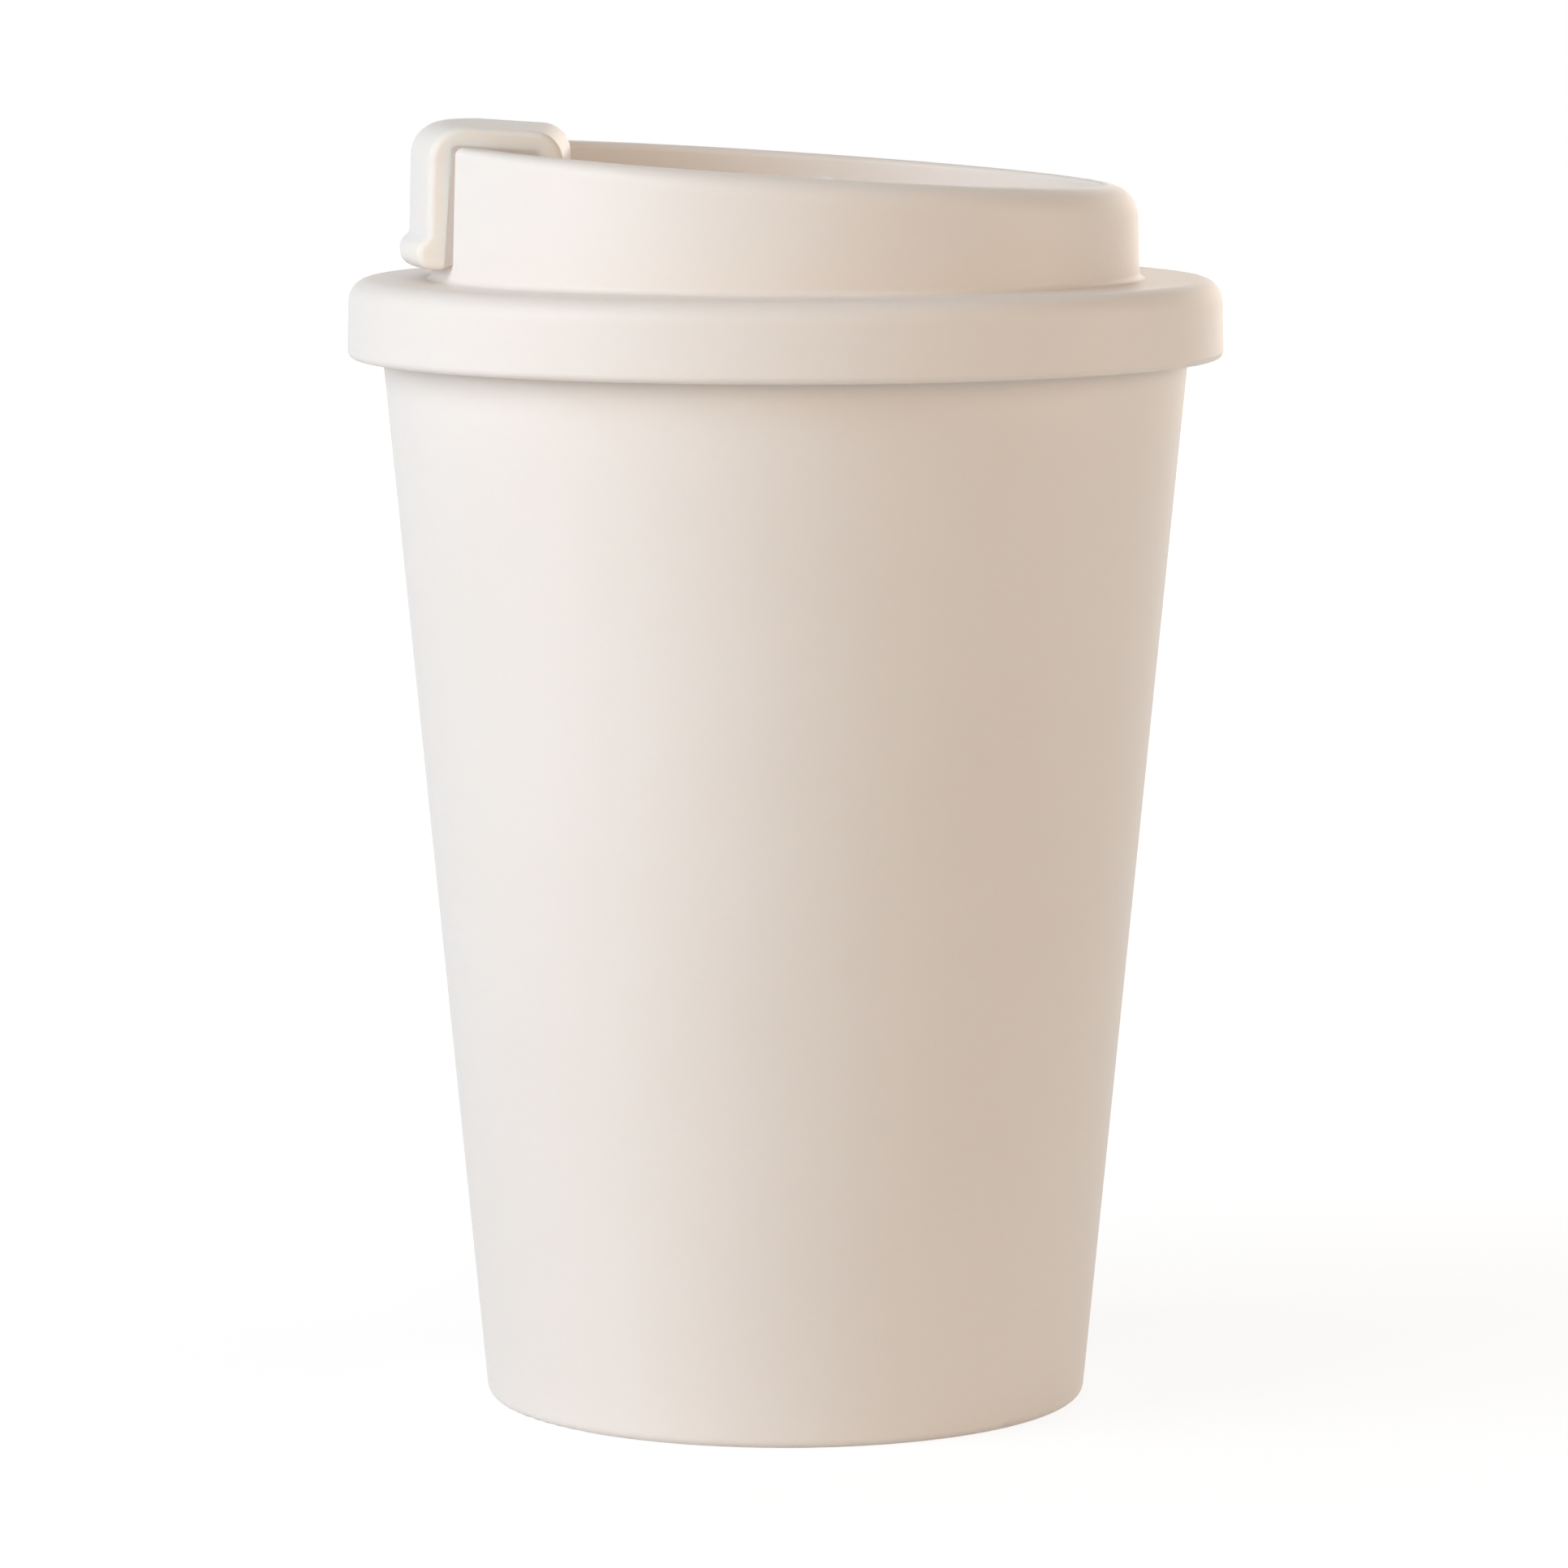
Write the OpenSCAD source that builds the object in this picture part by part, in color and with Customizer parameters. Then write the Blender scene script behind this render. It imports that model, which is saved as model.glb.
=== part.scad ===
// Double-walled drinking mug with a screw-in lid and a flip cap over the drinking side.
// Millimetres, z up. The origin is the middle of the foot, on the table, and the
// drinking side faces -x.

/* [Outer shell] */
// Outer radius of the shell at the table, before its edge is rounded
foot_r = 32.5; // [31:0.5:36]
// Height of the outer shell
shell_h = 117.6; // [100:0.1:130]
// Thickness of the shell's side wall
shell_wall = 2; // [1.5:0.1:2.4]
// Thickness of the shell's floor
shell_floor = 2; // [1.5:0.1:3]
// Rounding of the shell's bottom edge
foot_round = 1.1; // [0.5:0.1:2.5]
// Depth of the hollow in the underside
foot_hollow = 1; // [0.5:0.1:2]
// Width of the ring that the mug stands on
foot_ring = 4; // [3:0.5:8]

/* [Inner cup] */
// Air gap between the floor of the shell and the floor of the inner cup
floor_gap = 3.2; // [1:0.1:6]
// Thickness of the inner cup's wall and floor
cup_wall = 1.8; // [1.4:0.1:2.2]
// How far the inner cup's inside at its floor lies in from the foot's radius
floor_step = 4.5; // [4:0.5:8]
// Rounding between the inner cup's floor and its wall
cup_round = 6; // [3:0.5:9]
// Inside radius of the mouth, where the lid screws in
mouth_r = 37.6; // [33:0.1:42]
// Width of the flange from the mouth out to the shell's top edge
flange_w = 6.2; // [5.6:0.1:8]
// Depth of the straight mouth below the rim
mouth_h = 15; // [15:0.5:20]
// Height of the ledge under the mouth
ledge_h = 2; // [1:0.5:4]
// Width of that ledge
ledge_w = 1.6; // [1:0.1:3]
// Chamfers that lead the lid's plug wall into the mouth
lead_in = 0.5; // [0.2:0.1:1]
// Thickness of the rim that closes the double wall
rim_t = 2; // [1.5:0.1:3]
// Depth of the rib under the rim that centres it in the shell
rib_h = 1.5; // [1:0.1:3]
// Width of that rib
rib_w = 1; // [0.8:0.1:1.2]
// Gap between that rib and the shell
rib_gap = 0.12; // [0.08:0.02:0.3]

/* [Lid] */
// Height of the band round the lid
band_h = 8.5; // [6:0.1:11]
// Wall of the band's skirt
skirt_wall = 3; // [2:0.1:4]
// Gap between the skirt and the shell's top edge
skirt_gap = 0.4; // [0.3:0.05:1]
// Taper of the band from its bottom edge to its top
band_draft = 0.2; // [0:0.05:0.5]
// Rounding of the band's top edge
band_round = 2.4; // [1:0.1:3.5]
// Rounding of the band's bottom edge
band_edge = 0.8; // [0.3:0.1:1.2]
// Thickness of the lid's top plate
lid_plate = 2; // [1.5:0.1:3]
// Gap between the lid's top plate and the cup's rim
seat_gap = 0.1; // [0.05:0.05:0.5]
// Gap between the plug wall and the mouth, which the threads and the gasket fill
plug_gap = 1.3; // [1:0.1:1.8]
// Gap between the end of the plug wall and the ledge in the mouth
plug_end_gap = 1.1; // [0.5:0.1:4]
// Thickness of the plug wall
plug_wall = 2.6; // [2:0.1:3.5]
// Depth of the gasket's groove in the plug wall
groove_d = 0.8; // [0.4:0.1:1.2]
// Height of the gasket's groove
groove_h = 3.2; // [2:0.1:4]

/* [Drinking ring] */
// How far the ring's outer wall lies outside the mouth's radius
ring_step = 0.5; // [-0.5:0.1:1.5]
// Thickness of the ring's wall
ring_wall = 4; // [3.8:0.1:4.4]
// Height of the rim above the lid's top, at the middle
ring_h = 12.3; // [11:0.1:15]
// Taper of the ring's outer wall from the lid's top to the rim's middle
ring_draft = 0.3; // [0:0.05:0.4]
// Fall of the rim towards the far side, in mm for each mm
rim_fall = 0.064; // [0:0.002:0.09]
// Rounding of the rim's outer edge
rim_round = 2.2; // [0.8:0.1:2.8]
// Rounding of the rim's inner edge
inner_round = 0.8; // [0.4:0.1:0.9]
// Fillets where the ring meets the band and the deck
ring_fillet = 0.7; // [0.2:0.1:1.2]
// Height of the deck above the lid's top
deck_rise = 3.2; // [2.2:0.1:4]
// Thickness of the deck
deck_t = 2; // [1.5:0.1:2.2]

/* [Drinking slot and vent] */
// Distance of the slot's middle from the ring's inner wall
slot_in = 5.1; // [4.7:0.1:7]
// Width of the slot
slot_w = 5; // [4.4:0.1:5.4]
// Length of the slot
slot_l = 15; // [11:0.5:16]
// Distance of the vent from the ring's inner wall
vent_in = 7.1; // [4:0.1:14]
// Radius of the vent
vent_r = 0.8; // [0.5:0.1:1.5]

/* [Hinge] */
// Place of the hinge along x, measured from the axis
hinge_x = 4; // [0:0.5:6]
// Height of the hinge's axis above the deck
hinge_h = 4.9; // [4.6:0.1:5.2]
// Radius of the hinge pins
pin_r = 1.3; // [1:0.1:1.5]
// Running clearance between the pins and their bores
pin_gap = 0.05; // [0.02:0.01:0.08]
// Radius of the knuckle and of the ears' round tops
knuckle_r = 2.5; // [2.2:0.1:2.8]
// Width of the knuckle
knuckle_w = 10.4; // [8:0.2:14]
// Thickness of each ear
ear_t = 2.4; // [1.8:0.1:3]
// Width of each ear at the deck
ear_foot = 9; // [7:0.5:12]
// Gap between the knuckle and each ear
ear_gap = 0.2; // [0.15:0.05:0.4]

/* [Flip cap] */
// Width of the flip cap
cap_w = 29; // [22:0.5:32]
// Thickness of the bar over the rim
bar_t = 2.1; // [1.8:0.05:3]
// Gap between the bar and the rim
bar_gap = 0.15; // [0.1:0.05:0.5]
// Gap between the outer leg and the ring at the top
leg_gap = 0.3; // [0.3:0.05:0.6]
// How much wider that gap is at the leg's tip
leg_flare = 0.2; // [0.2:0.05:0.8]
// Thickness of the outer leg at the top
leg_t = 2.3; // [1.9:0.1:2.6]
// Height of the outer leg's tip above the lid's top
leg_tip = 1.6; // [1:0.1:4]
// Rounding of the corner between the bar and the outer leg
corner_round = 3.6; // [2:0.1:5]
// Rounding of the cap's long edges
edge_round = 0.7; // [0.3:0.1:1]
// Rounding of the leg's lower corners
tip_round = 0.9; // [0.4:0.1:0.9]
// Distance of the inner leg's face from the slot's middle
inner_in = 5.5; // [5:0.5:9]
// Thickness of the inner leg
inner_t = 2.6; // [1.8:0.1:3]
// Rounding where the bar turns into the inner leg
inner_corner = 5; // [3:0.5:6]
// Gap between the arm and the deck
arm_gap = 2.4; // [2.2:0.1:2.6]
// Thickness of the arm
arm_t = 2.6; // [2:0.1:3]
// Radius of the finger lip's bead
bead_r = 1.6; // [1.2:0.1:2]
// How far that bead stands out beyond the outer leg
bead_out = 1.2; // [0.8:0.1:1.2]
// Length of the finger lip
lip_l = 27; // [12:1:27]

/* [Spout plug] */
// How far the plug's pad covers the deck round the slot
pad_rim = 1.1; // [0.8:0.1:1.2]
// Thickness of the pad
pad_t = 1.4; // [1:0.1:1.6]
// Gap between the pad and the deck
pad_gap = 0.15; // [0.1:0.05:0.2]
// Gap round the plug's nose in the slot
nose_gap = 0.6; // [0.5:0.05:1]
// Depth of the nose below the pad
nose_h = 1.9; // [1:0.1:2]
// Radius of the plug's stem
stem_r = 1.9; // [1.4:0.1:2]
// Length of the plug's stem
stem_h = 4; // [2:0.5:6]
// Gap round the stem in its socket
stem_gap = 0.05; // [0.03:0.01:0.1]
// Wall of the socket that holds the stem
socket_wall = 1.4; // [1:0.1:1.5]
// Thickness of the ribs beside the socket
web_t = 1.8; // [1.2:0.1:2.2]
// Half the length of the rib across the socket
web_l = 8; // [4:0.5:8.5]

/* [Gasket] */
// Gap between the gasket and the groove
gasket_gap = 0.2; // [0.15:0.05:0.3]
// Gap between the gasket's fins and the mouth
fin_gap = 0.25; // [0.2:0.05:0.4]
// Thickness of each fin
fin_t = 0.8; // [0.6:0.1:1]

/* [Hidden] */
$fn = 96;
// How far the rim's roundings start outside the ring's wall, so that the two cross cleanly
rim_start = 0.1;
// Length by which a cutting shape runs past what it cuts
over = 1;
// Reach of a shape that only has to be longer than the mug is wide
reach = 60;

// Levels above the table
cup_floor_z = foot_hollow + shell_floor + floor_gap + cup_wall;
rim_z = shell_h + rim_t;
mouth_z = rim_z - mouth_h;
plate_z = rim_z + seat_gap;
lid_z = plate_z + lid_plate;
band_z = lid_z - band_h;
deck_z = lid_z + deck_rise;
crest_z = lid_z + ring_h;
rim_top_z = crest_z + (mouth_r + ring_step) * rim_fall;
hinge_z = deck_z + hinge_h;
leg_z = lid_z + leg_tip;
pad_z = deck_z + pad_gap;

// Radii and slopes
shoulder_r = mouth_r + flange_w;
cup_floor_r = foot_r - floor_step;
cup_top_r = mouth_r - ledge_w;
shell_slope = (shoulder_r - foot_r) / shell_h;
rib_r = shell_r(shell_h - rib_h) - shell_wall - rib_gap;
plug_r = mouth_r - plug_gap;
plug_z = mouth_z + plug_end_gap;
groove_r = plug_r - groove_d;
skirt_r = shoulder_r + skirt_gap;
band_r = skirt_r + skirt_wall;
ring_r = mouth_r + ring_step;
ring_in = ring_r - ring_wall;
slot_x = ring_in - slot_in;
vent_x = ring_in - vent_in;
inner_x = slot_x - inner_in;
rim_tilt = atan(rim_fall);
leg_in = wall_r(rim_top_z) + leg_gap;
leg_out = leg_in + leg_t;
cap_top = bar_gap + bar_t;
ear_y = knuckle_w / 2 + ear_gap;
socket_r = stem_r + stem_gap;

function shell_r(z) = foot_r + shell_slope * z;
function wall_r(z) = ring_r - ring_draft * (z - lid_z) / ring_h;

// Half section of a solid of revolution with a sloped side and a rounded bottom edge
module bowl_section(r_low, r_high, z_low, z_high, rounding) {
    slope = (r_high - r_low) / (z_high - z_low);
    lean = atan(slope);
    cx = r_low + slope * rounding - rounding / cos(lean);
    polygon([[0, z_low], [cx, z_low],
             [cx + rounding * cos(lean), z_low + rounding * (1 - sin(lean))],
             [r_high, z_high], [0, z_high]]);
    translate([cx, z_low + rounding]) circle(rounding);
}

// Rectangle given by its inner and outer radius and its lower and upper level
module band_section(r_in, r_out, z_low, z_high) {
    translate([r_in, z_low]) square([r_out - r_in, z_high - z_low]);
}

// Rectangle with half-round ends, lying along y
module oblong(width, length) {
    square([width, length - width], center = true);
    for (s = [-1, 1]) translate([0, s * (length - width) / 2]) circle(width / 2);
}

// Turns its children from the level rim's frame into the slanted rim's frame
module on_rim() {
    translate([0, 0, crest_z]) rotate([0, rim_tilt, 0]) children();
}

// Concave fillet in the corner at the origin, between the +x and +y directions
module fillet_section(r) {
    difference() {
        translate([-over, -over]) square(r + over);
        translate([r, r]) circle(r);
    }
}

// Draws a section that is given in x and z, and makes it width thick along y
module across(width) {
    rotate([90, 0, 0]) linear_extrude(width, center = true) children();
}

module outer_shell() {
    color([0.95, 0.92, 0.88]) rotate_extrude() difference() {
        bowl_section(foot_r, shoulder_r, 0, shell_h, foot_round);
        bowl_section(shell_r(foot_hollow + shell_floor) - shell_wall, shoulder_r - shell_wall,
                     foot_hollow + shell_floor, shell_h, foot_round);
        band_section(0, foot_r - foot_ring, -over, foot_hollow);
    }
}

module inner_cup() {
    ledge_z = mouth_z - ledge_h;
    outside_top = ledge_z - cup_wall;
    color([0.96, 0.94, 0.9]) rotate_extrude() difference() {
        union() {
            bowl_section(cup_floor_r + cup_wall, cup_top_r + cup_wall,
                         cup_floor_z - cup_wall, outside_top, cup_round + cup_wall);
            polygon([[0, outside_top], [cup_top_r + cup_wall, outside_top],
                     [mouth_r + cup_wall, mouth_z - cup_wall],
                     [mouth_r + cup_wall, rim_z], [0, rim_z]]);
            band_section(mouth_r, shoulder_r, shell_h, rim_z);
            band_section(rib_r - rib_w, rib_r, shell_h - rib_h, rim_z);
        }
        bowl_section(cup_floor_r, cup_top_r, cup_floor_z, ledge_z, cup_round);
        polygon([[0, ledge_z], [cup_top_r, ledge_z], [mouth_r, mouth_z],
                 [mouth_r, rim_z - lead_in], [mouth_r + lead_in + over, rim_z + over],
                 [0, rim_z + over]]);
    }
}

// Everything under the slanted rim and its rounded outer edge
module rim_crown() {
    crown_r = wall_r(crest_z - rim_round) / cos(rim_tilt) + rim_start;
    on_rim() translate([rim_round * rim_fall, 0, 0]) rotate_extrude() {
        polygon([[0, 0], [crown_r - rim_round, 0], [crown_r, -rim_round],
                 [crown_r + reach * rim_fall + over, -reach], [0, -reach]]);
        translate([crown_r - rim_round, -rim_round]) circle(rim_round);
    }
}

// Funnel that rounds the rim's inner edge
module rim_funnel() {
    funnel_r = ring_in / cos(rim_tilt) - rim_start;
    on_rim() translate([inner_round * rim_fall, 0, 0]) rotate_extrude() difference() {
        band_section(0, funnel_r + inner_round, -inner_round, over);
        translate([funnel_r + inner_round, -inner_round]) circle(inner_round);
    }
}

module drinking_ring() {
    high = crest_z + reach * rim_fall;
    difference() {
        intersection() {
            rotate_extrude()
                polygon([[ring_in, plate_z], [ring_r, plate_z], [ring_r, lid_z],
                         [wall_r(high), high], [ring_in, high]]);
            rim_crown();
        }
        rim_funnel();
    }
}

module hinge_ear() {
    difference() {
        across(ear_t) {
            polygon([[-ear_foot / 2, -hinge_h - over / 2], [ear_foot / 2, -hinge_h - over / 2],
                     [ear_foot / 2, -hinge_h], [knuckle_r, 0], [-knuckle_r, 0],
                     [-ear_foot / 2, -hinge_h]]);
            circle(knuckle_r);
        }
        rotate([90, 0, 0]) cylinder(h = ear_t + 2 * over, r = pin_r + pin_gap, center = true);
    }
}

module lid() {
    color([0.95, 0.92, 0.88]) difference() {
        union() {
            rotate_extrude() difference() {
                union() {
                    intersection() {
                        translate([0, lid_z]) mirror([0, 1])
                            bowl_section(band_r - band_draft, band_r, 0, band_h, band_round);
                        bowl_section(band_r, band_r, band_z, lid_z, band_edge);
                    }
                    band_section(0, ring_r - over, deck_z - deck_t, deck_z);
                }
                band_section(0, skirt_r, band_z - over, plate_z);
                band_section(0, ring_in, plate_z - over, deck_z - deck_t);
            }
            rotate_extrude() difference() {
                polygon([[plug_r - plug_wall, lid_z], [plug_r - plug_wall, plug_z],
                         [plug_r - lead_in, plug_z], [plug_r, plug_z + lead_in], [plug_r, lid_z]]);
                band_section(groove_r, plug_r + over, plate_z - groove_h, plate_z);
            }
            rotate_extrude() {
                translate([ring_r, lid_z]) fillet_section(ring_fillet);
                translate([ring_in, deck_z]) mirror([1, 0]) fillet_section(ring_fillet);
            }
            drinking_ring();
            for (s = [-1, 1])
                translate([hinge_x, s * (ear_y + ear_t / 2), hinge_z]) hinge_ear();
        }
        translate([-slot_x, 0, deck_z - deck_t - over])
            linear_extrude(deck_t + 2 * over) oblong(slot_w, slot_l);
        translate([vent_x, 0, deck_z - deck_t - over]) cylinder(h = deck_t + 2 * over, r = vent_r);
    }
}

module lid_gasket() {
    low = plate_z - groove_h + gasket_gap;
    high = plate_z - gasket_gap;
    color([0.88, 0.86, 0.82]) rotate_extrude() {
        band_section(groove_r + gasket_gap, plug_r, low, high);
        for (z = [low, high - fin_t])
            band_section(groove_r + gasket_gap, mouth_r - fin_gap, z, z + fin_t);
    }
}

// Outline of the hook from above: concentric with the ring outside, with rounded corners
module hook_plan() {
    cy = cap_w / 2 - edge_round;
    cx = sqrt(pow(leg_out - edge_round, 2) - cy * cy);
    intersection() {
        circle(leg_out);
        polygon([[0, 0], [-reach, reach * cy / cx], [-reach, -reach * cy / cx]]);
    }
    translate([-cx, -cap_w / 2]) square([cx, cap_w]);
    for (s = [-1, 1]) translate([-cx, s * cy]) circle(edge_round);
}

// Cross-section of the hook from the front, with rounded top edges
module hook_front() {
    translate([-cap_w / 2, -reach]) square([cap_w, reach + cap_top - edge_round]);
    translate([-cap_w / 2 + edge_round, cap_top - edge_round])
        square([cap_w - 2 * edge_round, edge_round]);
    for (s = [-1, 1])
        translate([s * (cap_w / 2 - edge_round), cap_top - edge_round]) circle(edge_round);
}

// Section of the hook along x, in the slanted rim's frame: bar, rounded corner, inner leg
module hook_side() {
    corner_x = inner_x + inner_corner;
    low = deck_z + arm_gap - crest_z - rim_fall * (inner_x + inner_t);
    translate([-reach, -reach]) square([reach - corner_x, reach + cap_top + over]);
    translate([-corner_x, low]) square([inner_corner, cap_top - inner_corner - low]);
    translate([-corner_x, cap_top - inner_corner]) circle(inner_corner);
}

// Everything that the outer leg and the corner may fill
module hook_skin() {
    on_rim() rotate_extrude() {
        polygon([[0, cap_top], [leg_out - corner_round, cap_top],
                 [leg_out, cap_top - corner_round],
                 [leg_out + over, -reach / 2], [0, -reach / 2]]);
        translate([leg_out - corner_round, cap_top - corner_round]) circle(corner_round);
    }
}

// Bead along the outer leg's tip, for the finger
module finger_lip() {
    intersection() {
        translate([0, 0, leg_z + bead_r])
            rotate_extrude() translate([leg_out + bead_out - bead_r, 0]) circle(bead_r);
        translate([-reach - slot_x, -lip_l / 2, 0]) cube([reach, lip_l, 3 * reach]);
    }
}

// Space that the hook leaves for the ring and for the air beside it
module hook_hollow() {
    tip_in = wall_r(leg_z) + leg_gap + leg_flare;
    intersection() {
        rotate_extrude()
            polygon([[0, leg_z - over], [tip_in, leg_z - over], [tip_in, leg_z],
                     [leg_in, rim_top_z], [leg_in, rim_top_z + reach], [0, rim_top_z + reach]]);
        on_rim() translate([0, 0, bar_gap - reach]) cube(2 * reach, center = true);
        translate([-reach - inner_x - inner_t, -reach, 0]) cube([reach, 2 * reach, 3 * reach]);
    }
}

module hook() {
    difference() {
        union() {
            intersection() {
                translate([0, 0, leg_z - over]) linear_extrude(reach) hook_plan();
                rotate_extrude()
                    bowl_section(leg_out, leg_out, leg_z, leg_z + reach / 2, tip_round);
                hook_skin();
                on_rim() rotate([90, 0, 90]) linear_extrude(2 * reach, center = true) hook_front();
                on_rim() across(cap_w) hook_side();
            }
            finger_lip();
        }
        hook_hollow();
    }
}

// Arm from the inner leg to the knuckle, narrowing towards the hinge
module arm() {
    low = deck_z + arm_gap;
    start_x = -inner_x - inner_t / 2;
    start_y = cap_w / 2 - edge_round;
    end_y = knuckle_w / 2;
    neck_x = hinge_x - knuckle_r - over - end_y;
    intersection() {
        across(cap_w) polygon([[start_x, low], [hinge_x, hinge_z - arm_t / 2],
                               [hinge_x, hinge_z + arm_t / 2], [start_x, low + arm_t]]);
        translate([0, 0, low - over]) linear_extrude(reach)
            polygon([[start_x, -start_y], [neck_x, -end_y], [hinge_x, -end_y],
                     [hinge_x, end_y], [neck_x, end_y], [start_x, start_y]]);
    }
}

module flip_cap() {
    holder_z = pad_z + pad_t;
    holder_top = crest_z + rim_fall * slot_x + bar_gap + bar_t / 2;
    color([0.96, 0.93, 0.89]) difference() {
        union() {
            hook();
            arm();
            translate([hinge_x, 0, hinge_z]) rotate([90, 0, 0]) {
                cylinder(h = knuckle_w, r = knuckle_r, center = true);
                cylinder(h = knuckle_w + 2 * (ear_gap + ear_t), r = pin_r, center = true);
            }
            translate([-slot_x, 0, holder_z]) {
                cylinder(h = holder_top - holder_z, r = socket_r + socket_wall);
                translate([-web_t / 2, -web_l, 0])
                    cube([web_t, 2 * web_l, holder_top - holder_z]);
                translate([0, -web_t / 2, 0])
                    cube([slot_x - inner_x - inner_t / 2, web_t, holder_top - holder_z]);
            }
        }
        translate([-slot_x, 0, holder_z - over]) cylinder(h = stem_h + over + stem_gap, r = socket_r);
    }
}

module spout_plug() {
    color([0.86, 0.83, 0.78]) translate([-slot_x, 0, pad_z]) {
        linear_extrude(pad_t) oblong(slot_w + 2 * pad_rim, slot_l + 2 * pad_rim);
        translate([0, 0, -nose_h])
            linear_extrude(nose_h) oblong(slot_w - 2 * nose_gap, slot_l - 2 * nose_gap);
        cylinder(h = pad_t + stem_h, r = stem_r);
    }
}

outer_shell();
inner_cup();
lid();
lid_gasket();
flip_cap();
spout_plug();
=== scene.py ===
# %% [markdown]
# # A double-walled mug, dressed in Blender
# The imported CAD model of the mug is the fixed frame. This script gives its pieces their
# finish, models the pieces whose form needs softer edges than the CAD has, and sets up the
# floor, the lights and the camera. All lengths are metres, z is up, and the drinking side
# with its flip cap faces -x.

# %% Load the frame
import math

import bpy
from mathutils import Matrix, Vector


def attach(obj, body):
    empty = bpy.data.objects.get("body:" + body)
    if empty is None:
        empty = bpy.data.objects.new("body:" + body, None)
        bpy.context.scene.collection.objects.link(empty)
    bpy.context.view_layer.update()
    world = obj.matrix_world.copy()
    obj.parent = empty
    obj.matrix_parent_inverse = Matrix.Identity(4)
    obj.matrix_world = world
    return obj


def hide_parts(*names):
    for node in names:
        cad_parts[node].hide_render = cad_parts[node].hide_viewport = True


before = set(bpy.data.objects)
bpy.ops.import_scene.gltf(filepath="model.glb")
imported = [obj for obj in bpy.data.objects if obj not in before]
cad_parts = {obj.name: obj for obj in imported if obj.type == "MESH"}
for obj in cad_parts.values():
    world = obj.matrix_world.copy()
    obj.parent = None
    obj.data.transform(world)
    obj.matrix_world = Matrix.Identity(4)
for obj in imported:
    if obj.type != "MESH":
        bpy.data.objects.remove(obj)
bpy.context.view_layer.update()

MM = 0.001
print("nodes:", sorted(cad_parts))

# %% [markdown]
# ## The camera
# The product is seen from a little above, through a long lens, so that its sides hardly
# converge. A wide lens close by would show the same face but would bend the rims far more.
# The camera therefore stands 0.81 m away with a lens of about 170 mm.

# %% Camera
camera_data = bpy.data.cameras.new("camera")
camera_data.sensor_width = 36
camera_data.lens = 172.57
camera_data.clip_start = 0.05
camera = bpy.data.objects.new("camera", camera_data)
camera.location = (-0.000175, -0.8102, 0.1646)
camera.rotation_euler = (math.radians(90 - 6.89), 0, 0)
bpy.context.scene.collection.objects.link(camera)
bpy.context.scene.camera = camera

# %% [markdown]
# ## Floor and background
# A catalogue picture of this kind has a white ground. The floor is a large pale plane, and
# where the camera sees it directly it is lifted to white, with only a part of its shading
# left, so that the shadow under the mug stays. Mirrored rays and rays through glass see
# the same white, so a glossy skin would not show a grey floor.

# %% Floor
bpy.ops.object.select_all(action="DESELECT")
bpy.ops.mesh.primitive_plane_add(size=6, location=(0, 0, 0))
floor = bpy.context.object
floor.name = "floor"


def direct_sight(tree):
    """1 for rays that show the background as such: seen, mirrored or through glass."""
    rays = tree.nodes.new("ShaderNodeLightPath")
    either = tree.nodes.new("ShaderNodeMath")
    either.operation = "MAXIMUM"
    tree.links.new(rays.outputs["Is Camera Ray"], either.inputs[0])
    tree.links.new(rays.outputs["Is Glossy Ray"], either.inputs[1])
    any_of = tree.nodes.new("ShaderNodeMath")
    any_of.operation = "MAXIMUM"
    tree.links.new(either.outputs["Value"], any_of.inputs[0])
    tree.links.new(rays.outputs["Is Transmission Ray"], any_of.inputs[1])
    return any_of.outputs["Value"]


floor_paint = bpy.data.materials.new("floor_paint")
floor_paint.use_nodes = True
tree = floor_paint.node_tree
matte = tree.nodes["Principled BSDF"]
matte.inputs["Base Color"].default_value = (0.86, 0.855, 0.85, 1)
matte.inputs["Roughness"].default_value = 0.9
matte.inputs["Specular IOR Level"].default_value = 0.1
white = tree.nodes.new("ShaderNodeEmission")
place = tree.nodes.new("ShaderNodeTexCoord")
reach = tree.nodes.new("ShaderNodeVectorMath")
reach.operation = "LENGTH"
rise = tree.nodes.new("ShaderNodeMapRange")
for socket, value in (("From Min", 0.05), ("From Max", 0.35), ("To Min", 0.86),
                      ("To Max", 1.0)):
    rise.inputs[socket].default_value = value
thin = tree.nodes.new("ShaderNodeBsdfDiffuse")
thin.inputs["Color"].default_value = (0.2, 0.2, 0.2, 1)
veil = tree.nodes.new("ShaderNodeAddShader")
lifted = tree.nodes.new("ShaderNodeMixShader")
tree.links.new(place.outputs["Object"], reach.inputs[0])
tree.links.new(reach.outputs["Value"], rise.inputs["Value"])
tree.links.new(rise.outputs["Result"], white.inputs["Strength"])
tree.links.new(thin.outputs["BSDF"], veil.inputs[0])
tree.links.new(white.outputs["Emission"], veil.inputs[1])
tree.links.new(direct_sight(tree), lifted.inputs["Fac"])
tree.links.new(matte.outputs["BSDF"], lifted.inputs[1])
tree.links.new(veil.outputs["Shader"], lifted.inputs[2])
tree.links.new(lifted.outputs["Shader"], tree.nodes["Material Output"].inputs["Surface"])
floor.data.materials.append(floor_paint)

# %% [markdown]
# ### The world
# The world shows white where the floor ends, and gives the mug a weak, warm, even light
# from all round, as the walls of a small studio do.

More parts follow.
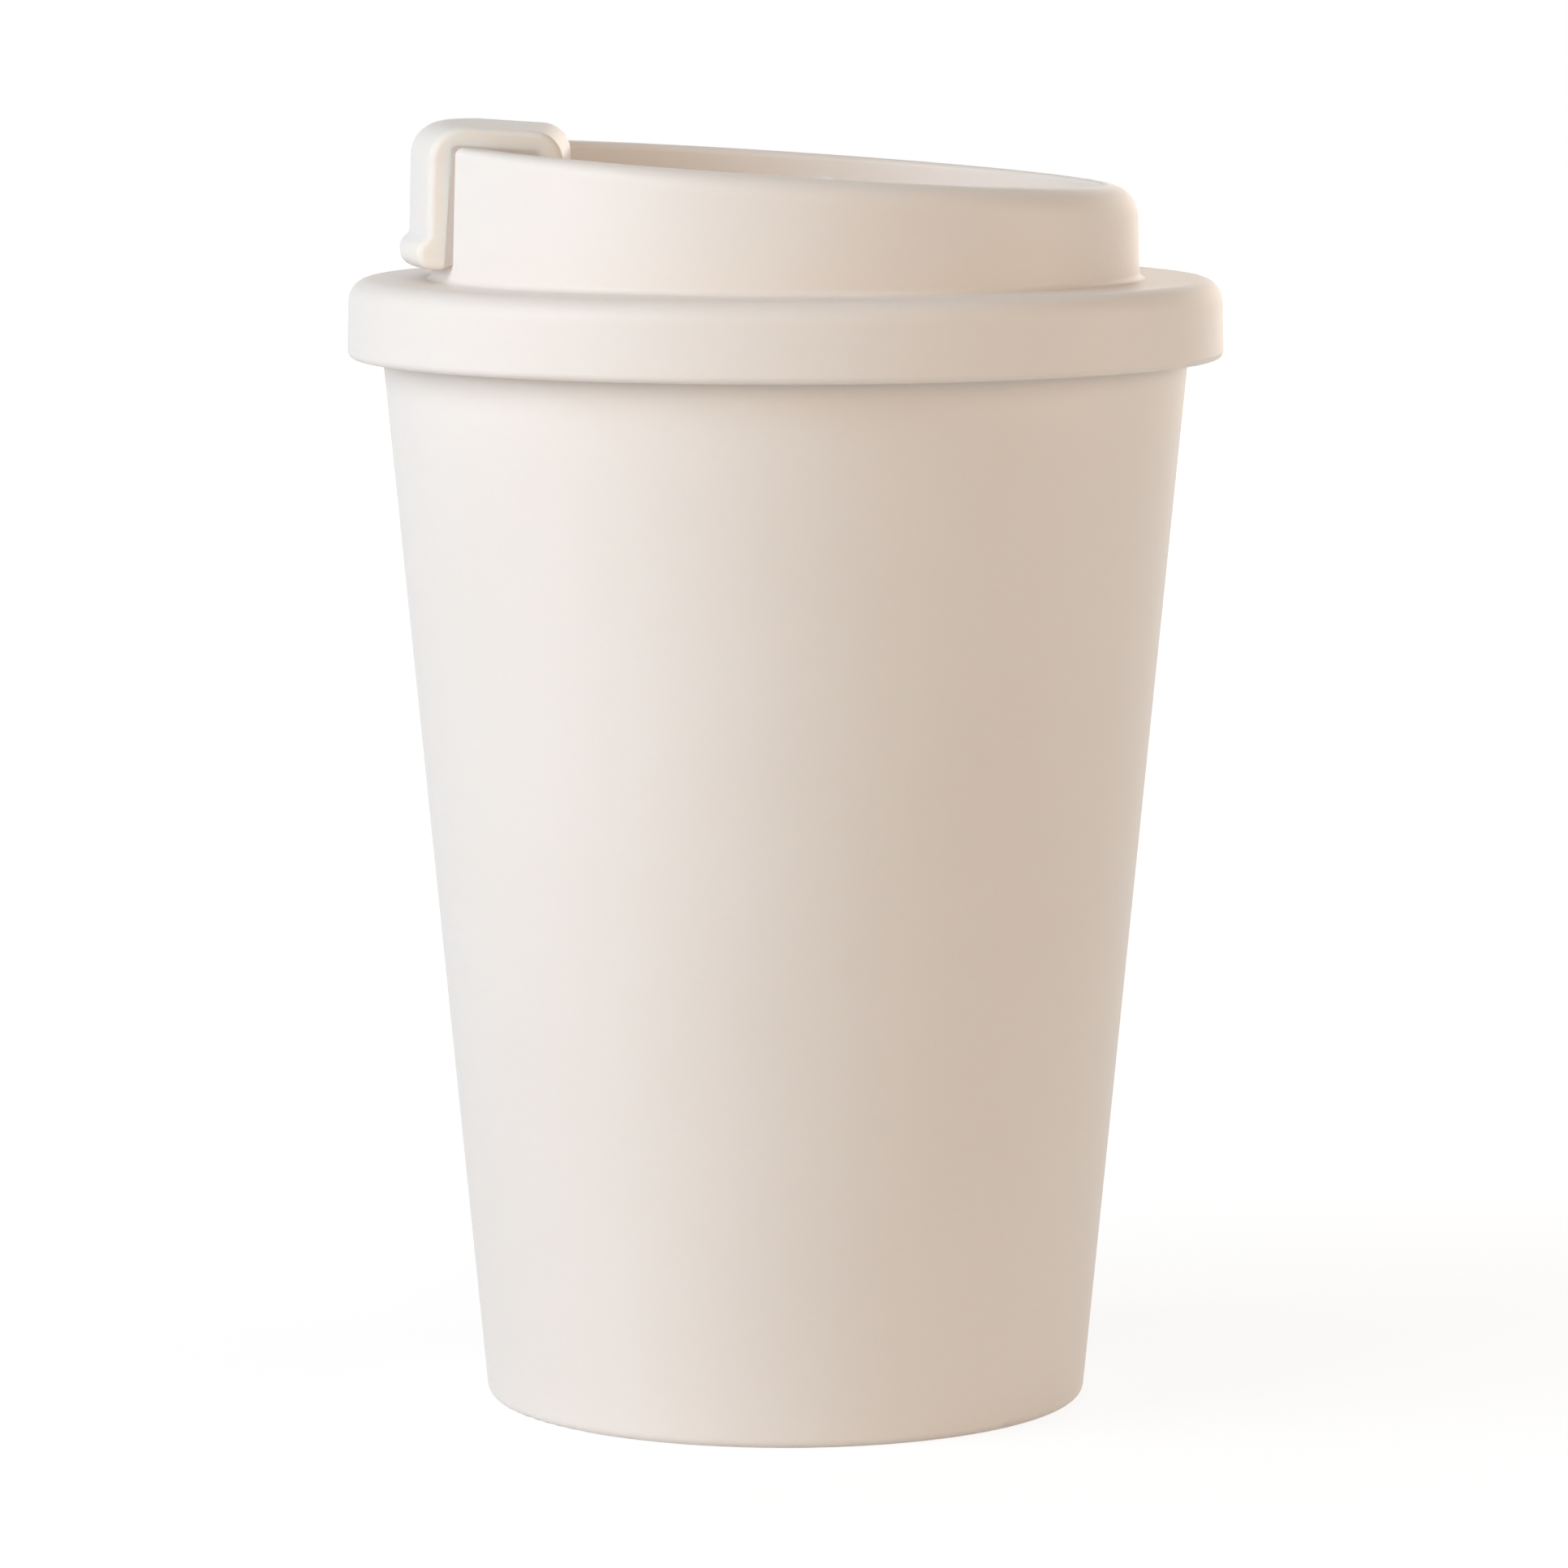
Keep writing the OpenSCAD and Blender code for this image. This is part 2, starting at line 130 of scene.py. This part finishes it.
# %% World
world = bpy.data.worlds.new("studio")
bpy.context.scene.world = world
world.use_nodes = True
tree = world.node_tree
ambient = tree.nodes["Background"]
ambient.inputs["Color"].default_value = (1.0, 0.9, 0.8, 1)
ambient.inputs["Strength"].default_value = 0.2
paper = tree.nodes.new("ShaderNodeBackground")
paper.inputs["Color"].default_value = (1, 1, 1, 1)
paper.inputs["Strength"].default_value = 1.0
choice = tree.nodes.new("ShaderNodeMixShader")
tree.links.new(direct_sight(tree), choice.inputs["Fac"])
tree.links.new(ambient.outputs["Background"], choice.inputs[1])
tree.links.new(paper.outputs["Background"], choice.inputs[2])
tree.links.new(choice.outputs["Shader"], tree.nodes["World Output"].inputs["Surface"])
bpy.context.scene.view_settings.view_transform = "Standard"

# %% [markdown]
# ## Lights
# The shading on the mug says where the lamps stood: broad cool light from the left, low and
# high, a warmer light from the front, and a low one from the right that lifts the far edge
# a little. One more from behind keeps the back readable when the mug is seen from there.

# %% Lights
def softbox(name, place, target, width, height, power, colour):
    lamp = bpy.data.lights.new(name, "AREA")
    lamp.shape = "RECTANGLE"
    lamp.size = width
    lamp.size_y = height
    lamp.energy = power
    lamp.color = colour
    box = bpy.data.objects.new(name, lamp)
    box.location = place
    box.rotation_euler = (Vector(target) - Vector(place)).to_track_quat("-Z", "Y").to_euler()
    bpy.context.scene.collection.objects.link(box)
    return box


MUG_MIDDLE = (0, 0, 0.07)
softbox("key_left", (-0.9, -0.45, 0.35), MUG_MIDDLE, 0.7, 1.0, 4.8, (0.75, 0.87, 1.0))
softbox("key_high", (-0.75, -0.45, 0.55), MUG_MIDDLE, 0.7, 0.7, 4.5, (0.75, 0.87, 1.0))
softbox("front_soft", (0.0, -1.5, 0.55), MUG_MIDDLE, 0.9, 0.9, 5.0, (1.0, 0.74, 0.48))
softbox("right_flat", (1.0, -0.05, 0.2), MUG_MIDDLE, 0.4, 0.8, 3.6, (1.0, 0.92, 0.83))
softbox("back_soft", (0.5, 1.3, 0.25), MUG_MIDDLE, 0.9, 0.7, 5.0, (1.0, 0.88, 0.78))


# %% [markdown]
# ## The plastic
# The whole mug is moulded from one cream plastic with a satin skin. A close look at such a
# moulding shows a very fine grain that softens the highlight, faint clouds in the colour
# where the melt flowed, and light that travels a little way inside the wall, which is why
# its gaps look warm. One material function serves all plastic pieces, each with its own
# grain size.

# %% Satin plastic
def satin_plastic(name, colour, shade_colour, grain_mm, glow, depth_mm=1.6):
    paint = bpy.data.materials.new(name)
    paint.use_nodes = True
    tree = paint.node_tree
    shader = tree.nodes["Principled BSDF"]
    shader.inputs["IOR"].default_value = 1.49
    shader.inputs["Specular IOR Level"].default_value = 0.3
    shader.inputs["Subsurface Weight"].default_value = glow
    shader.inputs["Subsurface Radius"].default_value = (1.0, 0.55, 0.32)
    shader.inputs["Subsurface Scale"].default_value = depth_mm * MM
    place = tree.nodes.new("ShaderNodeTexCoord")

    clouds = tree.nodes.new("ShaderNodeTexNoise")
    clouds.inputs["Scale"].default_value = 26
    clouds.inputs["Detail"].default_value = 3
    tint = tree.nodes.new("ShaderNodeMix")
    tint.data_type = "RGBA"
    tint.inputs["A"].default_value = (*shade_colour, 1)
    tint.inputs["B"].default_value = (*colour, 1)
    spread = tree.nodes.new("ShaderNodeMapRange")
    spread.inputs["From Min"].default_value = 0.3
    spread.inputs["From Max"].default_value = 0.6
    tree.links.new(place.outputs["Object"], clouds.inputs["Vector"])
    tree.links.new(clouds.outputs["Fac"], spread.inputs["Value"])
    tree.links.new(spread.outputs["Result"], tint.inputs["Factor"])
    tree.links.new(tint.outputs["Result"], shader.inputs["Base Color"])

    grain = tree.nodes.new("ShaderNodeTexNoise")
    grain.inputs["Scale"].default_value = 1 / (grain_mm * MM)
    grain.inputs["Detail"].default_value = 2
    polish = tree.nodes.new("ShaderNodeMapRange")
    polish.inputs["To Min"].default_value = 0.40
    polish.inputs["To Max"].default_value = 0.52
    relief = tree.nodes.new("ShaderNodeBump")
    relief.inputs["Strength"].default_value = 0.25
    relief.inputs["Distance"].default_value = 0.01 * MM
    tree.links.new(place.outputs["Object"], grain.inputs["Vector"])
    tree.links.new(clouds.outputs["Fac"], polish.inputs["Value"])
    tree.links.new(polish.outputs["Result"], shader.inputs["Roughness"])
    tree.links.new(grain.outputs["Fac"], relief.inputs["Height"])
    tree.links.new(relief.outputs["Normal"], shader.inputs["Normal"])
    return paint


cream = (0.865, 0.795, 0.735)
cream_deep = (0.85, 0.775, 0.71)
shell_plastic = satin_plastic("shell_plastic", cream, cream_deep, 0.35, 0.12)
lid_plastic = satin_plastic("lid_plastic", cream, cream_deep, 0.3, 0.12)
cap_plastic = satin_plastic("cap_plastic", cream, cream_deep, 0.3, 0.6, 2.4)
liner_plastic = satin_plastic("liner_plastic", cream, cream_deep, 0.35, 0.12)
silicone = satin_plastic("silicone", (0.76, 0.71, 0.62), (0.74, 0.68, 0.59), 0.15, 0.3)


def finish(piece, paint):
    piece.data.materials.clear()
    piece.data.materials.append(paint)


for node, paint in (("outer_shell", shell_plastic), ("inner_cup", liner_plastic),
                    ("lid", lid_plastic), ("flip_cap", cap_plastic),
                    ("lid_gasket", silicone), ("spout_plug", silicone)):
    finish(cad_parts[node], paint)
    print(node, "faces:", len(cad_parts[node].data.polygons))

# %% [markdown]
# ## How the turned pieces are made
# The lid is round, so its form is one section line turned about the upright axis. The line
# is drawn as on paper: a single vertex is extruded from corner to corner, and each
# corner carries its own rounding. A lathe of this kind keeps every wall and every edge at
# its true size, which stacking cylinders and cutting them apart would not.

# %% Draw and turn
TURNS = 192


def start_fresh(piece=None):
    if bpy.context.object and bpy.context.object.mode == "EDIT":
        bpy.ops.object.mode_set(mode="OBJECT")
    bpy.ops.object.select_all(action="DESELECT")
    if piece:
        bpy.context.view_layer.objects.active = piece
        piece.select_set(True)


def rounded(corners, step=12):
    """Points of a closed outline in mm, from (across, up, rounding) corners."""
    points = []
    for i, (across, up, rounding) in enumerate(corners):
        corner = Vector((across, up))
        if not rounding:
            points.append(corner)
            continue
        back = (Vector(corners[i - 1][:2]) - corner).normalized()
        ahead = (Vector(corners[(i + 1) % len(corners)][:2]) - corner).normalized()
        half = back.angle(ahead) / 2
        centre = corner + (back + ahead).normalized() * rounding / math.sin(half)
        spoke = corner + back * rounding / math.tan(half) - centre
        sweep = spoke.angle_signed(corner + ahead * rounding / math.tan(half) - centre)
        steps = max(2, round(abs(math.degrees(sweep)) / step))
        for k in range(steps + 1):
            turned = spoke.copy()
            turned.rotate(Matrix.Rotation(-sweep * k / steps, 2))
            points.append(centre + turned)
    return points


def draw_line(name, points):
    """A line of edges through points in mm, as a new mesh in edit mode."""
    start_fresh()
    bpy.ops.mesh.primitive_plane_add(size=MM, location=(0, 0, 0))
    piece = bpy.context.object
    piece.name = piece.data.name = name
    bpy.ops.object.mode_set(mode="EDIT")
    bpy.ops.mesh.select_all(action="SELECT")
    bpy.ops.mesh.merge(type="CENTER")
    bpy.ops.transform.translate(value=points[0] * MM)
    for here, there in zip(points, points[1:]):
        bpy.ops.mesh.extrude_region_move(
            TRANSFORM_OT_translate={"value": (there - here) * MM})
    return piece


def turned_piece(name, corners):
    section = [Vector((point.x, 0, point.y)) for point in rounded(corners)]
    piece = draw_line(name, section)
    bpy.ops.mesh.select_all(action="SELECT")
    bpy.ops.mesh.spin(steps=TURNS, angle=2 * math.pi, center=(0, 0, 0), axis=(0, 0, 1))
    close_up()
    return piece


def close_up():
    bpy.ops.mesh.select_all(action="SELECT")
    bpy.ops.mesh.remove_doubles(threshold=0.001 * MM)
    bpy.ops.mesh.normals_make_consistent(inside=False)


# %% [markdown]
# ## The lid
# The real lid is one moulding: a band that grips the mug's shoulder, a flat top, a drinking
# ring whose rim falls away from the mouth side, and a deck sunk inside it. Under the top, a
# plug wall screws into the mouth. All of it comes from one turned section. The ring starts
# too tall, and one slanted cut takes its top off, as the tool's parting face does.

# %% Turn the lid and cut the rim
DECK, DECK_UNDER, TOP, CREST = 124.9, 122.9, 121.7, 133.9
RIM_FALL = 0.064
RING_IN, RING_OUT, RING_TALL = 34.1, 38.1, 140
DRAFT = 0.3 / 12.3
BAND_LOW, PLATE, PLUG_LOW = 113.2, 119.7, 105.7
lid = turned_piece("lid_moulding", (
    (0, DECK, 0), (RING_IN, DECK, 0.7), (RING_IN, RING_TALL, 0),
    (RING_OUT - DRAFT * (RING_TALL - TOP), RING_TALL, 0), (RING_OUT, TOP, 0.7),
    (46.98, TOP, 2.4), (47.17, BAND_LOW, 0.8), (44.2, BAND_LOW, 0.3), (44.2, PLATE, 0),
    (35.5, PLATE, 0), (35.5, 116.5, 0), (36.3, 116.5, 0.2), (36.3, PLUG_LOW, 0.5),
    (33.7, PLUG_LOW, 0.4), (33.7, TOP, 0), (RING_IN, TOP, 0), (RING_IN, DECK_UNDER, 0.4),
    (0, DECK_UNDER, 0)))
bpy.ops.mesh.select_all(action="SELECT")
bpy.ops.mesh.bisect(plane_co=(0, 0, CREST * MM), plane_no=(RIM_FALL, 0, 1),
                    clear_outer=True)
bpy.ops.mesh.bridge_edge_loops()
close_up()
bpy.ops.object.mode_set(mode="OBJECT")
print("lid faces after the slanted cut:", len(lid.data.polygons))

# %% [markdown]
# ### The rim's growing rounding
# At the mouth side the rim is nearly sharp, and towards the far side its outer edge gets
# rounder and rounder. A bevel has one width, but every edge may weigh it down, so the width
# is set for the roundest place and the weights shrink it round the rim.

# %% Round the rim
BACK_ROUND = 3.15


def rim_height(x):
    return CREST * MM - RIM_FALL * x


def outer_round(x):
    along = x / (RING_OUT * MM)
    return 2.3 + 1.25 * along - 0.4 * along ** 2


def inner_round(x):
    return 0.8 - 0.3 * max(0, x / (RING_IN * MM))


weights = lid.data.attributes.new("bevel_weight_edge", "FLOAT", "EDGE")
for edge in lid.data.edges:
    ends = [lid.data.vertices[i].co for i in edge.vertices]
    if all(abs(co.z - rim_height(co.x)) < 0.01 * MM for co in ends):
        radii = [co.xy.length for co in ends]
        middle = (ends[0].x + ends[1].x) / 2
        if min(radii) > (RING_IN + RING_OUT) / 2 * MM:
            weights.data[edge.index].value = outer_round(middle) / BACK_ROUND
        elif max(radii) < (RING_IN + 0.1) * MM:
            weights.data[edge.index].value = inner_round(middle) / BACK_ROUND


def apply_change(piece, kind, **settings):
    start_fresh(piece)
    change = piece.modifiers.new(kind.lower(), kind)
    for key, value in settings.items():
        setattr(change, key, value)
    bpy.ops.object.modifier_apply(modifier=change.name)


apply_change(lid, "BEVEL", width=BACK_ROUND * MM, segments=10, limit_method="WEIGHT",
             use_clamp_overlap=False)
print("lid faces after the rim's rounding:", len(lid.data.polygons))

# %% [markdown]
# ### Slot and vent
# The slot to drink from and the vent are cut with tools whose ends flare out, so the cut
# leaves a rounded edge. A plain cutter and a bevel afterwards would have to fight with the
# fan of faces on the deck.

# %% Cut the slot and the vent
def flat_shape(name, points):
    """A filled outline in mm, as a new mesh in edit mode, all selected."""
    piece = draw_line(name, points)
    bpy.ops.mesh.select_all(action="SELECT")
    bpy.ops.mesh.edge_face_add()
    return piece


def arc(centre, radius, start, end, steps):
    angles = [math.radians(start + (end - start) * k / steps) for k in range(steps + 1)]
    return [(centre[0] + radius * math.cos(a), centre[1] + radius * math.sin(a))
            for a in angles]


def cut(piece, tool, operation="DIFFERENCE"):
    start_fresh(tool)
    apply_change(piece, "BOOLEAN", operation=operation, solver="EXACT", object=tool)
    bpy.data.objects.remove(tool)


def flared_hole(piece, centre_x, outline, low, high, flare):
    width = 2 * max(x for x, y in outline)
    length = 2 * max(y for x, y in outline)
    tool = flat_shape("cutter", [Vector((centre_x + x, y, low - 1)) for x, y in outline])
    bends = [math.radians(a) for a in (0, 22.5, 45, 67.5, 90)]
    levels = [(low, flare)] + [(low + flare * math.sin(b), flare * (1 - math.sin(a)))
                               for a, b in zip(bends, bends)][1:]
    levels += [(low + high - z, grow) for z, grow in reversed(levels)]
    levels += [(high + 1, flare)]
    size, level = flare, low - 1
    middle = (centre_x * MM, 0, 0)
    bpy.ops.transform.resize(value=(1 + 2 * flare / width, 1 + 2 * flare / length, 1),
                             center_override=middle)
    for z, grow in levels:
        bpy.ops.mesh.extrude_region_move(
            TRANSFORM_OT_translate={"value": (0, 0, (z - level) * MM)})
        bpy.ops.transform.resize(value=((width + 2 * grow) / (width + 2 * size),
                                        (length + 2 * grow) / (length + 2 * size), 1),
                                 center_override=middle)
        size, level = grow, z
    close_up()
    cut(piece, tool)


SLOT_X, VENT_X = -29, 27
SLOT_W, SLOT_L = 5, 15
end = (SLOT_L - SLOT_W) / 2
flared_hole(lid, SLOT_X, arc((0, end), SLOT_W / 2, 0, 180, 16)
            + arc((0, -end), SLOT_W / 2, 180, 360, 16), DECK_UNDER, DECK, 0.35)
flared_hole(lid, VENT_X, arc((0, 0), 0.8, 0, 345, 23), DECK_UNDER, DECK, 0.25)
print("lid faces after the slot and the vent:", len(lid.data.polygons))

# %% [markdown]
# ### Hinge ears
# Two ears stand on the deck and hold the cap's pins in their bores. Each is an outline seen
# from the side, pulled to its thickness, softened and bored, and then fused with the deck.
# Filling one outline gives the foot, the slopes and the round top in a single step.

# %% Raise the hinge ears
HINGE_X, HINGE_Z = 4, 129.8
EAR_Y, EAR_T = 5.4, 2.4
for side in (-1, 1):
    low = DECK - HINGE_Z
    profile = [(-4.5, low - 0.5), (4.5, low - 0.5), (4.5, low)]
    profile += arc((0, 0), 2.5, 0, 180, 24) + [(-4.5, low)]
    near = side * EAR_Y
    ear = flat_shape("ear", [Vector((HINGE_X + x, near, HINGE_Z + z)) for x, z in profile])
    bpy.ops.mesh.extrude_region_move(
        TRANSFORM_OT_translate={"value": (0, side * EAR_T * MM, 0)})
    close_up()
    bpy.ops.object.mode_set(mode="OBJECT")
    apply_change(ear, "BEVEL", width=0.3 * MM, segments=3, limit_method="ANGLE",
                 angle_limit=math.radians(60))
    start_fresh()
    bpy.ops.mesh.primitive_cylinder_add(
        vertices=48, radius=1.35 * MM, depth=4 * EAR_T * MM,
        location=(HINGE_X * MM, near * MM, HINGE_Z * MM), rotation=(math.pi / 2, 0, 0))
    bore = bpy.context.object
    bpy.ops.object.transform_apply(location=True, rotation=True, scale=True)
    cut(ear, bore)
    cut(lid, ear, "UNION")
print("lid faces with its ears:", len(lid.data.polygons))

# %% [markdown]
# ### Smooth the lid
# Wide flat faces beside narrow rounded ones make smooth shading smear. Weighted normals let
# the wide faces decide, so flats look flat and only the roundings curve. The lid then takes
# the place of its CAD node and rides on the lid's body.

# %% Smooth the lid and put it in its node's place
def smooth(piece, degrees=32):
    start_fresh(piece)
    bpy.ops.object.shade_smooth_by_angle(angle=math.radians(degrees))
    apply_change(piece, "WEIGHTED_NORMAL", keep_sharp=True, weight=80)


smooth(lid)
finish(lid, lid_plastic)
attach(lid, "lid_body")
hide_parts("lid")

# %% [markdown]
# ## The flip cap
# The cap is one moulding too: a hook that grips the ring's wall from both sides, with a lip
# for the finger along its outer tip, an arm down to the hinge, and a socket that holds the
# silicone plug. The hook is drawn once from the side, with every corner rounded, and pulled
# out along its width. A plain pull would leave the outer leg flat, so each point is then
# moved in towards the axis as far as the ring curves away at its place. Moving points in
# code keeps the gap to the ring even, which bending by eye would not.

# %% Pull out the hook and wrap it round the ring
CAP_HALF = 14.5
INNER_X, TIP, LOW = 23.5, 123.2, 127.3
BAR_GAP, BAR_T = 0.09, 2.25


def rim_at(across):
    return CREST + RIM_FALL * across


side = rounded((
    (INNER_X, LOW, 0.3), (INNER_X + 2.6, LOW, 0.3),
    (INNER_X + 2.6, rim_at(INNER_X + 2.6) + BAR_GAP, 0.5),
    (38.0, rim_at(38.0) + BAR_GAP, 0.5),
    (38.3, TIP, 1.1), (41.5, TIP, 1.6), (41.5, 125.7, 1.4), (40.45, 126.75, 0.9),
    (40.15, rim_at(40.15) + BAR_T, 3.6), (INNER_X, rim_at(INNER_X) + BAR_T, 3.2)), step=9)
cap = flat_shape("cap_moulding", [Vector((-p.x, -CAP_HALF, p.y)) for p in side])
STATIONS = 28
GAP_EDGE, OUTER_EDGE = 0.12, 0.75
for _ in range(STATIONS):
    bpy.ops.mesh.extrude_region_move(
        TRANSFORM_OT_translate={"value": (0, 2 * CAP_HALF / STATIONS * MM, 0)})
close_up()
bpy.ops.object.mode_set(mode="OBJECT")


def eased(value, low, high):
    t = min(1, max(0, (value - low) / (high - low)))
    return t * t * (3 - 2 * t)


for vertex in cap.data.vertices:
    out, y, z = -vertex.co.x / MM, vertex.co.y / MM, vertex.co.z / MM
    wrapped = math.sqrt(out ** 2 - y ** 2)
    moved = out + eased(out, 27, 35) * (wrapped - out)
    top_share = eased(z, LOW, rim_at(INNER_X))
    vertex.co.x = -moved * MM
    vertex.co.z = (z + RIM_FALL * (moved - out) * top_share) * MM

weights = cap.data.attributes.new("bevel_weight_edge", "FLOAT", "EDGE")
for edge in cap.data.edges:
    ends = [cap.data.vertices[i].co for i in edge.vertices]
    if all(abs(abs(co.y) - CAP_HALF * MM) < 0.01 * MM for co in ends):
        middle = (ends[0] + ends[1]) / 2
        out, z = -middle.x / MM, middle.z / MM
        facing_ring = z < rim_at(out) + 0.8 and INNER_X + 1.5 < out < 36.3
        weights.data[edge.index].value = GAP_EDGE if facing_ring else OUTER_EDGE
apply_change(cap, "BEVEL", width=1 * MM, segments=5, limit_method="WEIGHT",
             use_clamp_overlap=False)
print("hook faces:", len(cap.data.polygons))

# %% [markdown]
# ### Arm, knuckle and socket
# These are hidden while the cap is shut, and seen as soon as it swings up. Each is a plain
# form with softened edges, and all are fused into the hook, as the mould makes them in one
# shot.

# %% Fuse the arm, the knuckle, the pins and the socket
def soften(piece, width):
    apply_change(piece, "BEVEL", width=width * MM, segments=3, limit_method="ANGLE",
                 angle_limit=math.radians(50))


def prism(name, points, along, length):
    """A closed outline in mm, pulled along one axis."""
    piece = flat_shape(name, [Vector(point) for point in points])
    bpy.ops.mesh.extrude_region_move(
        TRANSFORM_OT_translate={"value": tuple(Vector(along) * length * MM)})
    close_up()
    bpy.ops.object.mode_set(mode="OBJECT")
    return piece


def rod(name, radius, centre, length, along_y, softening):
    start_fresh()
    turn = (math.pi / 2, 0, 0) if along_y else (0, 0, 0)
    bpy.ops.mesh.primitive_cylinder_add(
        vertices=64, radius=radius * MM, depth=length * MM,
        location=Vector(centre) * MM, rotation=turn)
    piece = bpy.context.object
    piece.name = name
    bpy.ops.object.transform_apply(location=True, rotation=True, scale=True)
    if softening:
        soften(piece, softening)
    return piece


ARM_HALF, ARM_END_HALF, SLOPE_END = 13.5, 5.0, -4.7
arm = prism("arm", [(-25, -20, LOW), (HINGE_X, -20, HINGE_Z - 1.3),
                    (HINGE_X, -20, HINGE_Z + 1.3), (-25, -20, LOW + 2.6)], (0, 1, 0), 40)
plan = prism("plan", [(-25, -ARM_HALF, 120), (SLOPE_END, -ARM_END_HALF, 120),
                      (HINGE_X, -ARM_END_HALF, 120), (HINGE_X, ARM_END_HALF, 120),
                      (SLOPE_END, ARM_END_HALF, 120), (-25, ARM_HALF, 120)], (0, 0, 1), 20)
cut(arm, plan, "INTERSECT")
soften(arm, 0.5)
cut(cap, arm, "UNION")
cut(cap, rod("knuckle", 2.5, (HINGE_X, 0, HINGE_Z), 10.4, True, 0.3), "UNION")
cut(cap, rod("pins", 1.3, (HINGE_X, 0, HINGE_Z), 15.6, True, 0.2), "UNION")

PLUG_TOP, HOLD_TOP = 126.45, 136.9
for half_x, half_y, centre_x, top in ((0.9, 8, SLOT_X, HOLD_TOP),
                                      (1.7, 0.9, SLOT_X + 1.7, HOLD_TOP - 2.4)):
    rib = prism("rib", [(centre_x + a * half_x, b * half_y, PLUG_TOP)
                        for a, b in ((-1, -1), (1, -1), (1, 1), (-1, 1))],
                (0, 0, 1), top - PLUG_TOP)
    cut(cap, rib, "UNION")
middle_z = (PLUG_TOP + HOLD_TOP) / 2
cut(cap, rod("socket", 3.35, (SLOT_X, 0, middle_z), HOLD_TOP - PLUG_TOP, False, 0), "UNION")
cut(cap, rod("bore", 1.95, (SLOT_X, 0, PLUG_TOP + 1.5), 5.1, False, 0))
start_fresh(cap)
bpy.ops.object.mode_set(mode="EDIT")
close_up()
bpy.ops.mesh.dissolve_degenerate(threshold=0.002 * MM)
bpy.ops.object.mode_set(mode="OBJECT")
print("cap faces:", len(cap.data.polygons))

smooth(cap, 30)
finish(cap, cap_plastic)
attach(cap, "cap_body")
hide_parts("flip_cap")

# %% [markdown]
# ## The screw thread
# The lid turns home on a coarse two-start thread: two ridges climb round the plug wall, and
# two more inside the mouth catch them. A ridge is one small section swept along a helix. Its
# ends fade into the wall, as a moulded thread's do.

# %% Sweep the thread
LEAD = 9.0


def ridge(name, root, crest, start_z, first_angle, sweep):
    """A helical ridge from radius root to crest, in mm and degrees."""
    half_root, half_crest = 1.3, 0.45
    section = [(root, -half_root), (crest, -half_crest), (crest, half_crest),
               (root, half_root)]
    piece = draw_line(name, [Vector((r, 0, start_z + z)) for r, z in section])
    bpy.ops.mesh.select_all(action="SELECT")
    bpy.ops.mesh.edge_face_add()
    bpy.ops.mesh.delete(type="ONLY_FACE")
    start_fresh(piece)
    steps = round(sweep / 3)
    apply_change(piece, "SCREW", axis="Z", angle=math.radians(sweep), steps=steps,
                 render_steps=steps, screw_offset=LEAD * sweep / 360 * MM,
                 use_merge_vertices=False)
    fade = 24.0
    for vertex in piece.data.vertices:
        angle = math.degrees(math.atan2(vertex.co.y, vertex.co.x)) % 360
        near_end = min(1.0, min(angle, sweep - angle) / fade)
        radius = vertex.co.xy.length / MM
        if near_end < 1 and abs(radius - crest) < abs(radius - root):
            shrunk = root + (radius - root) * max(0.05, near_end)
            vertex.co.xy *= shrunk / radius
    bpy.ops.object.mode_set(mode="EDIT")
    bpy.ops.mesh.select_all(action="DESELECT")
    bpy.ops.mesh.select_non_manifold(extend=False)
    bpy.ops.mesh.edge_face_add()
    close_up()
    bpy.ops.transform.rotate(value=-math.radians(first_angle), orient_axis="Z",
                             center_override=(0, 0, 0))
    start_fresh(piece)
    smooth(piece, 40)
    return piece


def thread(name, root, crest, start_z, sweep):
    first = ridge(name, root, crest, start_z, 0, sweep)
    second = ridge(name + "_2", root, crest, start_z, 180, sweep)
    start_fresh(first)
    second.select_set(True)
    bpy.ops.object.join()
    return first


lid_thread = thread("lid_thread", 36.0, 37.2, 107.2, 200)
finish(lid_thread, lid_plastic)
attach(lid_thread, "lid_body")
mouth_thread = thread("mouth_thread", 37.9, 36.7, 109.2, 200)
finish(mouth_thread, liner_plastic)
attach(mouth_thread, "cup")
print("thread faces:", len(lid_thread.data.polygons), len(mouth_thread.data.polygons))
